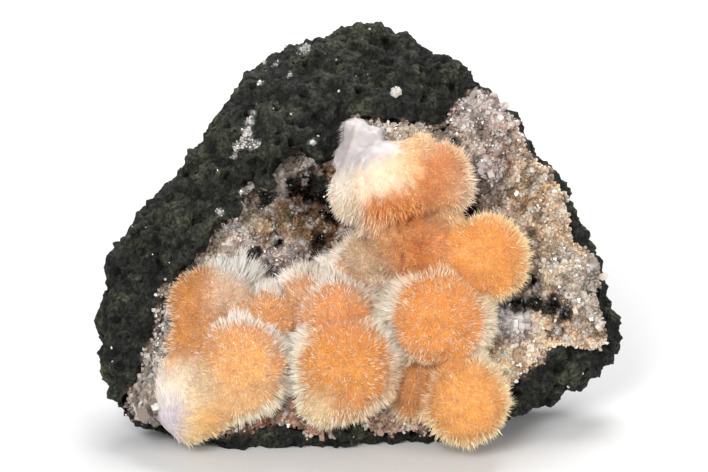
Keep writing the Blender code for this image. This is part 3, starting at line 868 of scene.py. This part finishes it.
# Single white flakes, and below them specks in dust, with a streak of them at the upper left: the same.
FLAKES = [(6.3, 26.0, 0.8), (-8.7, 16.9, 0.6), (-20.2, 9.2, 0.6), (-20.6, 5.0, 0.6)]
BASALT_SPECKS = [
    (-19.5, 22.4, 0.7), (-19.9, 20.6, 0.9), (-20.3, 18.6, 1.3), (-20.5, 17.0, 1.5),
    (-18.8, 16.6, 0.9), (-22.3, 16.4, 0.8), (-22.6, 14.6, 0.6), (-17.6, 31.8, 0.5),
    (-15.4, 31.3, 0.5), (-18.2, 27.8, 0.6), (-12.8, 29.4, 0.5), (-21.0, 8.2, 0.9),
    (-20.6, 5.6, 1.0), (-25.2, 4.6, 0.7), (-8.6, 17.0, 0.7), (6.2, 26.0, 0.7), (-10.2, 34.0, 1.2),
    (25.8, 23.6, 0.8),
]
CREEP = 1.1  # how far the crust creeps over the edge of the basalt on average, mm
RIM_CREEP = 4.5  # and how much farther in the middle of an overgrown place, mm
FARTHEST = 9.0  # no crust is looked for beyond this, mm


def distance_to(spots, targets, limit):
    """How far each place is from the nearest target, in mm, or the limit where it is farther."""
    tree = KDTree(len(targets))
    for index, target in enumerate(targets):
        tree.insert(target, index)
    tree.balance()
    return np.array([min(tree.find(spot)[2], limit) for spot in spots])


spots = face(coordinates(basalt))
front = towards_viewer(basalt) > -0.6
gap = np.full(len(spots), FARTHEST)
gap[front] = distance_to(spots[front], face(coordinates(crust))[::4], FARTHEST)
rim = near(spots, OVERGROWTH)
creep = CREEP + RIM_CREEP * rim + (1.6 + 2 * rim) * rough(spots, 2.6, 3.0)
overgrown = front * np.clip(creep - gap, 0, 1) * (1 - np.clip(holes_at(spots), 0, 1))
store(basalt, "overgrown", overgrown)
in_view = towards_viewer(basalt) > 0.1
patchy = 0.9 * rough(spots, 1.1, 5.0)
speckled = near(spots, BASALT_SPECKS)
store(basalt, "dusted", in_view * np.clip(1.6 * speckled - 0.5 + 0.6 * patchy, 0, 1))
print("share of the basalt that is overgrown:", round(float(overgrown.mean()), 3))

# %% Sow the crystals on the basalt
CRUMBS = {"Spacing": 0.22 * MM, "Length": 0.55 * MM}
FLAKE_SIZES = {"Spacing": 0.6 * MM, "Length": 1.6 * MM}
STRAY = 0.0008  # the share of crumbs that lie anywhere else
FLOOR_GAP = 1.5  # nothing grows so near to the floor that it would reach through it, mm

off_floor = coordinates(basalt)[:, 2] > FLOOR_GAP * MM
specks = (in_view * np.clip(2.2 * speckled - 1.0 + patchy, 0, 1) + STRAY) * off_floor
flakes = in_view * (near(spots, FLAKES) > 0.3)
for name, share, milky, sizes in (
    ("overgrowth", overgrown, 0.0, {**FINE, "Seed": 6}),
    ("basalt_specks", specks, 0.7, {**CRUMBS, "Seed": 8}),
    ("basalt_flakes", flakes, 0.85, {**FLAKE_SIZES, "Seed": 12}),
):
    piece = sow(basalt, name, share, sizes)
    paint_crystals(piece, 1.5, milky)
    print(name, "triangles:", finish_piece(piece, "basalt_matrix"))
bpy.data.objects.remove(crystal)

# %% [markdown]
# ## Thomsonite balls
# Each ball is a solid, translucent orange core in a coat of straight needles that all point away from its
# middle. Seen end on, the long needles are too thin to hide the core, and the ball looks orange. Seen from
# the side, at its edge, they cover each other and scatter white light, which gives the pale fringe. So the
# look needs no trick: an orange core, a velvet of short fibres and thousands of long pale needles give it.
# Hair curves could make them too, but a finished mesh needs real triangles, so each needle is a thin cone.
# The balls have grown into each other, so their cores are fused by a voxel remesh. The broken crest is then
# ridged, and clefts split the folds under it, painted dark as shade.

# %% Which way the fibres grow
# Where the fibres of a ball don't start at its middle: u, v and w in mm.
FIBRE_STARTS = {
    "crown": (2.4, 16.4, 7.4),
    "crown_core": (1.0, 14.0, 5.0),
    "corner": (-34.6, -30.6, 7.0),
    "spray": (-21.6, -12.0, -1.0),
}
DIRECTION_REACH = 1.3  # how far past a core's surface its fibres still count, mm


def fibre_directions(spots):
    """The way that fibres grow at each place, blended from the balls that it lies on."""
    way = np.zeros_like(spots)
    for name, (u, v, w, radius) in BALLS.items():
        outside = -depth_inside(spots, u, v, w, radius)
        weight = np.exp(-((outside / DIRECTION_REACH) ** 2)) + 1e-6
        start = np.array(FIBRE_STARTS.get(name, (u, v, w)))
        away = spots - start
        way += weight[:, None] * away / np.linalg.norm(away, axis=1, keepdims=True)
    return way / np.linalg.norm(way, axis=1, keepdims=True)


above = np.array([(BALLS["centre"][0], BALLS["centre"][1], 40.0)])
print("straight in front of the centre ball fibres grow", fibre_directions(above).round(2)[0])

# %% The fused cores
BODY_VOXEL = 0.45
CREST = (-2.0, 17.0, 5.0)  # the broken crest: u, v and reach in mm
RIDGE_HEIGHT = 1.3
CLEFT_DEPTH = 0.9
FOLDS = [(3.5, 3.5, 3.2), (8.5, 3.0, 3.2), (8.0, -2.0, 3.6)]  # u, v and reach in mm
RIDGE_STRETCH = (1.0, 0.3, 1.0)  # less than 1 draws the noise out along that axis
CLEFT_STRETCH = (1.0, 0.3, 0.6)


def fused_cores(name):
    """All balls and saddles as one closed skin."""
    mesh = bmesh.new()
    for u, v, w, radius in [*BALLS.values(), *SADDLES]:
        middle = Matrix.Translation(Vector(world([(u, v, w)])[0]))
        bmesh.ops.create_icosphere(mesh, subdivisions=4, radius=radius * MM, matrix=middle)
    data = bpy.data.meshes.new(name)
    mesh.to_mesh(data)
    mesh.free()
    return remeshed(new_object(name, data), BODY_VOXEL, 9)


def clefts(spots):
    """How deep each place lies in the clefts that run up and down in the folds, from 0 to 1."""
    return near(spots, FOLDS) * np.clip(3.2 * rough(spots * CLEFT_STRETCH, 1.0, 72.0) - 0.35, 0, 1)


body = fused_cores("thomsonite_cores")
spots = face(coordinates(body))
directions = fibre_directions(spots)
waves = 0.9 * rough(spots, 5.0, 61.0) + 0.5 * rough(spots, 2.2, 62.0) + 0.27 * rough(spots, 0.9, 63.0)
ridges = near(spots, [CREST]) * rough(spots * RIDGE_STRETCH, 1.4, 64.0)
rise = waves + RIDGE_HEIGHT * ridges - CLEFT_DEPTH * clefts(spots)
spots = spots + directions * rise[:, None]
move_vertices(body, world(spots))
body.data.shade_smooth()
print("core triangles:", triangles(body))

# %% [markdown]
# The colour changes over the cluster: white to lilac porcelain at the broken crest, cream where fibres start,
# deep orange as painted shade under the crest, and paler balls at the bottom. A short table says so, and
# each place blends the entries near it. On the two broken balls the colours are drawn out along the fibres,
# so that their borders are ragged streaks, and in the clefts they are painted deep and dark as shade.

# %% Colours of the thomsonite
# u, v, reach in mm, colour of the core, colour of the needle tips, and share of the long fringe.
THOMSONITE_TINTS = [
    (-1.0, 20.0, 2.8, "#B8B0AC", "#DED6D6", 0.0),
    (-4.6, 15.0, 2.8, "#B2A8A8", "#D8CED2", 0.0),
    (2.6, 16.4, 3.0, "#BCB4B4", "#E6DEE6", 0.0),
    (-4.8, 11.0, 2.4, "#CEC2B8", "#F0E6DC", 0.0),
    (-4.0, 7.4, 2.6, "#E8D6BE", "#FAF0E0", 0.2),
    (0.8, 8.4, 2.6, "#E8D0B4", "#FAEEDC", 0.1),
    (5.0, 10.4, 2.6, "#E8CCAA", "#FCEEDA", 0.1),
    (8.4, 12.2, 2.4, "#E9C292", "#FCE8CC", 0.15),
    (10.8, 15.4, 2.2, "#E6B478", "#FBE0BC", 0.25),
    (-2.4, 4.0, 2.4, "#E0C4A2", "#F8E8D4", 0.4),
    (3.0, 4.2, 2.4, "#CE7420", "#F2A450", 0.3),
    (8.0, 5.8, 2.6, "#D67C28", "#F6B464", 0.3),
    (12.2, 7.6, 2.6, "#DA8A44", "#F4C490", 0.35),
    (13.0, 12.2, 2.6, "#DC8C44", "#F4C490", 0.35),
    (16.4, 12.0, 2.8, "#DE9856", "#F8D8B0", 0.5),
    (19.0, 9.0, 3.0, "#E2B284", "#FAE6CE", 0.6),
    (14.4, 4.0, 2.8, "#DEA468", "#F6D6A8", 0.5),
    (4.0, 0.8, 2.4, "#D8B080", "#F4DCB8", 0.5),
    (-1.6, 0.6, 2.6, "#D6B890", "#F3E4D0", 0.6),
    (7.0, -0.6, 4.5, "#CC7C26", "#F0B470", 0.6),
    (13.0, -2.0, 3.0, "#D88236", "#F6C492", 0.6),
    (1.0, -6.0, 4.0, "#D0B08C", "#F3E6D6", 1.0),
    (22.4, -3.4, 6.5, "#F0A644", "#FCE0B0", 0.45),
    (14.0, -14.6, 7.0, "#EE9E28", "#FFF6E8", 1.0),
    (18.5, -29.0, 6.5, "#F2AE50", "#FFEAC0", 0.5),
    (10.6, -26.6, 3.6, "#CC8642", "#F0CAA0", 0.8),
    (-2.7, -22.0, 6.0, "#E4981A", "#FFF4E0", 1.0),
    (-6.4, -31.0, 3.0, "#E2C89C", "#FBEED4", 0.2),
    (-4.2, -10.4, 3.8, "#EEA040", "#FFF9F0", 1.2),
    (-3.0, -15.2, 2.8, "#E89850", "#FCE6C8", 0.4),
    (-2.0, -30.2, 3.2, "#E8A050", "#FCE8C6", 0.4),
    (-21.4, -21.0, 5.5, "#F4B456", "#FFFAF2", 1.0),
    (-21.0, -29.0, 4.5, "#F0C080", "#FFF3DC", 0.5),
    (-28.6, -27.0, 3.4, "#E6CCA2", "#FDF2E0", 0.3),
    (-31.6, -24.6, 3.4, "#DCCAB2", "#F8EEE0", 0.1),
    (-35.0, -27.6, 2.6, "#DCCFC2", "#F4ECE2", 0.0),
    (-33.4, -31.6, 3.0, "#C4BAC0", "#E8E0E4", 0.0),
    (-28.6, -33.6, 2.6, "#E6BA74", "#FFEABC", 0.15),
    (-25.6, -34.0, 2.6, "#ECB05C", "#FFE8B8", 0.35),
    (-16.6, -14.6, 4.0, "#E29A3A", "#FFF8F0", 1.0),
    (-31.5, -18.6, 3.6, "#D68E3C", "#F2D2AE", 0.2),
    (-25.0, -18.0, 3.4, "#DC9E58", "#FFF8F0", 1.0),
    (-31.0, -11.0, 3.8, "#CE8A42", "#F2D2AE", 0.2),
    (-23.4, -11.0, 3.4, "#E2BE9C", "#FDF4EA", 1.0),
    (-9.6, -9.6, 3.5, "#E4A870", "#FFF5E8", 0.9),
    (-22.0, -5.0, 2.5, "#EBDCC8", "#FFFCF4", 1.0),
]

# Where the fibres of the two broken balls fan out from (u, v and w), and how far they reach, mm.
FANS = {"crown": ((1.0, 18.0, 7.0), 12.5), "corner": ((-34.4, -31.4, 8.0), 8.0)}
STREAK = 2.2  # how far the colours of a fan are drawn out along its fibres, mm
CLEFT_SHADE = (0.15, 0.42, 0.85)  # how much red, green and blue painted shade takes away in a cleft


def streaked(spots):
    """Where to read the colour of each place, so that borders end raggedly along the fibres of a fan."""
    u, v = spots[:, 0].copy(), spots[:, 1].copy()
    for (a, b, _), reach in FANS.values():
        along, across = spots[:, 0] - a, spots[:, 1] - b
        distance = np.hypot(along, across) + 0.1
        angle = np.arctan2(across, along)
        polar = zip(angle, distance)
        rays = np.array([noise.noise(Vector((12 * turn, 0.1 * far, a))) for turn, far in polar])
        shift = STREAK * rays * np.clip(distance / 5, 0, 1) * np.clip((1.5 * reach - distance) / 5, 0, 1)
        u += shift * along / distance
        v += shift * across / distance
    return u, v


def thomsonite_at(spots):
    """The core colour and the tip colour, both with painted shade in the clefts, and the share of fringe at
    each place.
    """
    weights = shares(*streaked(spots), THOMSONITE_TINTS)
    cores = weights @ np.array([linear(entry[3]) for entry in THOMSONITE_TINTS])
    tips = weights @ np.array([linear(entry[4]) for entry in THOMSONITE_TINTS])
    cleft_painted_shade = 1 - clefts(spots)[:, None] * CLEFT_SHADE
    return cores * cleft_painted_shade, tips * cleft_painted_shade, weights @ np.array([entry[5] for entry in THOMSONITE_TINTS])


cores, tips, fringe = thomsonite_at(spots)
mottle = np.array([noise.noise(Vector(spot) * 0.9 + Vector((40, 0, 0))) for spot in spots])
paint_vertices(body, np.clip(cores * (1 + 0.18 * mottle[:, None]), 0, 0.95))
print("mean share of fringe:", round(float(fringe.mean()), 2))

# %% [markdown]
# Real balls carry a coat like fur: needles a few millimetres long that lean together in small tufts. The
# tree grows both the velvet and the long fringe, because they differ only in their sizes. Each vertex of the
# cores says how thickly, how far and which way needles grow there.

# %% A tree that grows a coat of needles
TUFT_GAIN = 4.0  # noise seldom strays far from its middle, so it is stretched by this much
needle_tree = new_tree(
    "needle_coat",
    {
        "Per Square Metre": ("Float", 4.0e7),
        "Length": ("Float", 2.3 * MM),
        "Width": ("Float", 0.07 * MM),
        "Spread": ("Float", 0.12),
        "Tuft Width": ("Float", 1.2 * MM),
        "Tuft Spread": ("Float", 0.2),
        "Seed": ("Int", 1),
        "Material": ("Material", None),
    },
)


def build_needle_tree(tree):
    """Each needle is a cone with three sides that follows the stored direction, with two kinds of stray."""
    start = add(tree, "NodeGroupInput").outputs
    place = add(tree, "GeometryNodeInputPosition").outputs[0]
    share, reach, grow = (
        add(tree, "GeometryNodeInputNamedAttribute", {"Name": label}, data_type=kind).outputs[0]
        for label, kind in (("open", "FLOAT"), ("reach", "FLOAT"), ("grow", "FLOAT_VECTOR"))
    )
    some = {0: share, 1: start["Per Square Metre"]}
    density = add(tree, "ShaderNodeMath", some, operation="MULTIPLY").outputs[0]
    sown = add(
        tree,
        "GeometryNodeDistributePointsOnFaces",
        {"Mesh": start["Geometry"], "Density": density, "Seed": start["Seed"]},
        distribute_method="RANDOM",
    ).outputs["Points"]

    # Neighbours lean together in tufts, and each needle strays a little by itself.
    per_tuft = add(tree, "ShaderNodeMath", {0: 1.0, 1: start["Tuft Width"]}, operation="DIVIDE").outputs[0]
    in_tufts = add(tree, "ShaderNodeVectorMath", {0: place, "Scale": per_tuft}, operation="SCALE").outputs[0]
    tufts = add(tree, "ShaderNodeTexNoise", {"Vector": in_tufts, "Scale": 1.0, "Detail": 1.0})
    centred = {0: tufts.outputs["Color"], 1: (0.5, 0.5, 0.5)}
    tuft_way = add(tree, "ShaderNodeVectorMath", centred, operation="SUBTRACT").outputs[0]
    gain = {0: start["Tuft Spread"], 1: TUFT_GAIN}
    tuft_share = add(tree, "ShaderNodeMath", gain, operation="MULTIPLY").outputs[0]
    wander = add(tree, "FunctionNodeRandomValue", {**ANY_WAY, "Seed": 3}, data_type="FLOAT_VECTOR").outputs[0]
    direction = grow
    for way, scale in ((tuft_way, tuft_share), (wander, start["Spread"])):
        lean = add(tree, "ShaderNodeVectorMath", {0: way, "Scale": scale}, operation="SCALE").outputs[0]
        direction = add(tree, "ShaderNodeVectorMath", {0: direction, 1: lean}, operation="ADD").outputs[0]
    stood = add(tree, "FunctionNodeAlignRotationToVector", {"Vector": direction}, axis="Z").outputs[0]

    long, wide, chance = (
        add(tree, "FunctionNodeRandomValue", {2: least, 3: most, "Seed": seed}, data_type="FLOAT").outputs[1]
        for least, most, seed in ((0.5, 1.0, 9), (0.6, 1.5, 11), (0.0, 1.0, 5))
    )
    reaching = add(tree, "ShaderNodeMath", {0: long, 1: reach}, operation="MULTIPLY").outputs[0]
    length = add(tree, "ShaderNodeMath", {0: reaching, 1: start["Length"]}, operation="MULTIPLY").outputs[0]
    width = add(tree, "ShaderNodeMath", {0: wide, 1: start["Width"]}, operation="MULTIPLY").outputs[0]
    size = add(tree, "ShaderNodeCombineXYZ", {0: width, 1: width, 2: length}).outputs[0]

    spike = {"Vertices": 3, "Side Segments": 1, "Radius Top": 0.0, "Radius Bottom": 1.0, "Depth": 1.0}
    needle = add(tree, "GeometryNodeMeshCone", spike, fill_type="NONE").outputs["Mesh"]
    height = add(tree, "ShaderNodeSeparateXYZ", {0: place}).outputs[2]
    needle = add(
        tree,
        "GeometryNodeStoreNamedAttribute",
        {"Geometry": needle, "Name": "tip", "Value": height},
        data_type="FLOAT",
        domain="POINT",
    ).outputs[0]
    copies = {"Points": sown, "Instance": needle, "Rotation": stood, "Scale": size}
    grown = add(tree, "GeometryNodeInstanceOnPoints", copies).outputs[0]
    shaded = add(
        tree,
        "GeometryNodeStoreNamedAttribute",
        {"Geometry": grown, "Name": "shade", "Value": chance},
        data_type="FLOAT",
        domain="INSTANCE",
    ).outputs[0]
    real = add(tree, "GeometryNodeRealizeInstances", {"Geometry": shaded}).outputs[0]
    finish = {"Geometry": real, "Material": start["Material"]}
    coated = add(tree, "GeometryNodeSetMaterial", finish).outputs[0]
    add(tree, "NodeGroupOutput", {"Geometry": coated})


build_needle_tree(needle_tree)
print("needle tree nodes:", len(needle_tree.nodes))

# %% [markdown]
# The core is fibrous and lets light in a millimetre or so, so it has subsurface scattering. The needles are
# fine crystals with a silky sheen. They are drawn a little thicker than real ones, so that they show, and
# send light back from their surface instead of letting it through. Both read the colour that is stored on
# their vertices: a needle goes from nearly the core's orange at its root to cream at its tip, and a few are
# painted pale from their root, as painted glints.

# %% Thomsonite materials
# Light wanders among the packed fibres of a core, and only its orange comes back from deep down.
fibrous = {
    "Roughness": 0.5,
    "Subsurface Weight": 0.4,
    "Subsurface Radius": (1.0, 0.45, 0.15),
    "Subsurface Scale": 1.2 * MM,
}
core_material = stored_colour("thomsonite, fibrous core", fibrous)
# Bundles of needles shine like silk, most of all where they are seen from the side.
silky = {"Roughness": 0.4, "IOR": 1.52, "Sheen Weight": 0.5}
needle_material = stored_colour("thomsonite, silky needles", silky)
body.data.materials.append(core_material)
total = finish_piece(body, "thomsonite_cluster")
print("light goes", fibrous["Subsurface Scale"] / MM, "mm into a core")

# %% Helpers for the coats
GLINTING_ABOVE = 0.92  # above this chance a needle is painted pale from its root, as a painted glint
GLINT = 0.62  # how much of the tip's colour it then has at least


def coat(name, share, reach, directions, sizes):
    """Grows needles on a bare copy of the cores. share and reach hold one number for each vertex."""
    piece = new_object(name, body.data.copy())
    piece.data.materials.clear()
    store(piece, "open", share)
    store(piece, "reach", reach)
    layer = piece.data.attributes.new("grow", "FLOAT_VECTOR", "POINT")
    layer.data.foreach_set("vector", directions.astype(np.float32).ravel())
    return run_tree(piece, needle_tree, {"Material": needle_material, **sizes})


def paint_needles(piece, root_light, first, last):
    """Colours a coat from root to tip. The tip's colour starts to show at first and is full at last."""
    spots = face(coordinates(piece))
    cores, tips, _ = thomsonite_at(spots)
    along = np.clip((stored(piece, "tip") - first) / (last - first), 0, 1)[:, None]
    chance = stored(piece, "shade")[:, None]
    # Painted glint: a few needles are pale from the root.
    along = np.maximum(along, GLINT * (chance > GLINTING_ABOVE))
    colours = cores * root_light * (1 - along) + tips * along
    paint_vertices(piece, np.clip(colours * (0.82 + 0.34 * chance), 0, 0.97))


def from_0_to_1(values, low, high):
    """A smooth step: 0 below low and 1 above high."""
    share = np.clip((values - low) / (high - low), 0, 1)
    return share * share * (3 - 2 * share)


exposed = towards_viewer(body) > -0.6
owner = np.argmax([depth_inside(spots, *ball) for ball in BALLS.values()], axis=0)
rubbed = from_0_to_1(directions[:, 2], 0.2, 0.65)
ragged = np.clip(0.95 + 0.9 * rough(spots, 0.9, 51.0), 0.4, 1.3)
print("share of the cores that faces out:", round(float(exposed.mean()), 2))

# %% Grow the coats
VELVET = {"Per Square Metre": 2.4e7, "Length": 1.0 * MM, "Width": 0.055 * MM, "Spread": 0.7}
NEEDLES = {"Per Square Metre": 1.7e7, "Width": 0.105 * MM, "Tuft Spread": 0.4}
NEEDLE_LENGTH = 2.8 * MM
SPRAY_LENGTH = 4.8 * MM  # of the loose spray at the top of the left-hand balls
TANGLED = ("crown", "crown_right", "under_crown", "right", "low_right", "low_right_gap")
TANGLED_SPREAD, STRAIGHT_SPREAD = 0.5, 0.17
THINNED = 0.87  # the share of the long needles that is rubbed off the fronts of the balls
SHORTENED = 0.6  # and how much shorter those that are left there are

ones = np.ones(len(spots))
long_share = np.clip(fringe, 0, 1) * (1 - THINNED * rubbed)
long_reach = (0.5 + 0.5 * fringe) * (1 - SHORTENED * rubbed) * ragged
growing = world_ways(directions)
for index, name in enumerate(BALLS):
    mine = exposed & (owner == index)
    long_sizes = {
        **NEEDLES,
        "Length": SPRAY_LENGTH if name == "spray" else NEEDLE_LENGTH,
        "Spread": TANGLED_SPREAD if name in TANGLED else STRAIGHT_SPREAD,
        "Seed": index + 40,
    }
    short_share = np.clip(fringe * 4 - 0.3, 0, 1)
    velvet = coat("velvet_" + name, mine * short_share, ones, growing, {**VELVET, "Seed": index})
    needles = coat("needles_" + name, mine * long_share, long_reach, growing, long_sizes)
    # How light the roots are, and where the tip's colour starts and is full, from 0 at the root to 1.
    for piece, light, first, last in ((velvet, 0.92, -0.1, 3.2), (needles, 1.0, -1.3, 0.4)):
        if len(piece.data.vertices):
            paint_needles(piece, light, first, last)
            total += finish_piece(piece, "thomsonite_cluster")
        else:
            bpy.data.objects.remove(piece)
print("thomsonite triangles:", total)

# %% [markdown]
# Two balls were broken, and there the fibres show from the side. They fan out from one point of the white,
# porcelain-like core and lie almost flat, so they get a coat of their own that is combed along the surface.

# %% Combed fibres of the broken balls
COMBED = {"Per Square Metre": 2.0e7, "Length": 2.2 * MM, "Width": 0.05 * MM, "Spread": 0.1}
BARE_MIDDLE = (4.0, 6.5)  # the fibres start between these distances from the middle of the fan, mm
FADE = 3.0  # and end over this distance, mm

for index, (name, (start, reach)) in enumerate(FANS.items()):
    away = spots - np.array(start)
    distance = np.linalg.norm(away, axis=1, keepdims=True)
    along = away / distance
    flat = along - (along * directions).sum(axis=1, keepdims=True) * directions
    combed = 0.9 * flat / np.maximum(np.linalg.norm(flat, axis=1, keepdims=True), 0.2) + 0.34 * directions
    ring = from_0_to_1(distance[:, 0], *BARE_MIDDLE) * (1 - from_0_to_1(distance[:, 0], reach - FADE, reach))
    fan = coat("fan_" + name, exposed * ring, ones, world_ways(combed), {**COMBED, "Seed": index + 80})
    paint_needles(fan, 1.0, -1.0, 1.0)
    print("fan_" + name, "triangles:", finish_piece(fan, "thomsonite_cluster"))

# %% [markdown]
# ## Light and floor
# A specimen is photographed on white under large soft lamps: one above and in front of it, a weaker one
# that fills the shade, and one from behind that lights its top. The floor is plain and pale.

# %% Light
AIM = Vector((0, 0, 0.03))
# Place and width in metres, and power in watts.
LAMPS = {
    "key light": ((-0.25, -0.62, 0.48), 0.40, 5.2),
    "fill light": ((0.60, -0.60, 0.35), 0.50, 3.2),
    "top light": ((0.05, 0.40, 0.62), 0.50, 5.0),
}
SKY_STRENGTH = 0.37

for name, (place, size, power) in LAMPS.items():
    data = bpy.data.lights.new(name, "AREA")
    data.shape = "DISK"
    data.size = size
    data.energy = power
    lamp = new_object(name, data)
    lamp.location = place
    lamp.rotation_euler = (AIM - Vector(place)).to_track_quat("-Z", "Y").to_euler()

studio = bpy.data.worlds.new("studio")
studio.use_nodes = True
sky = studio.node_tree.nodes["Background"]
sky.inputs["Color"].default_value = (1.0, 1.0, 1.0, 1.0)
sky.inputs["Strength"].default_value = SKY_STRENGTH
bpy.context.scene.world = studio
bpy.context.scene.view_settings.view_transform = "Standard"
print("lamps:", len(LAMPS))

# %% Floor
FLOOR_SIZE = 3.0
floor_mesh = bmesh.new()
bmesh.ops.create_grid(floor_mesh, x_segments=1, y_segments=1, size=FLOOR_SIZE)
floor_data = bpy.data.meshes.new("floor")
floor_mesh.to_mesh(floor_data)
floor_mesh.free()
floor = new_object("floor", floor_data)
# Matt paper takes soft shadows and mirrors nothing.
paper = {"Base Color": (*linear("#DCDCDC"), 1.0), "Roughness": 0.7}
floor.data.materials.append(new_material("white paper sweep", paper)[0])
floor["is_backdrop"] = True
print("floor corners:", len(floor_data.vertices))

# %% [markdown]
# ## Sizes
# The dressed specimen should be hardly larger than the imported one. Both boxes are kept, and the size of
# the dressed one is printed.

# %% The sizes
low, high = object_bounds()
sizes = {"cad": [list(corner) for corner in cad_box], "visual": [list(low), list(high)]}
print("visual box, mm:", [round((b - a) / MM, 1) for a, b in zip(low, high)])
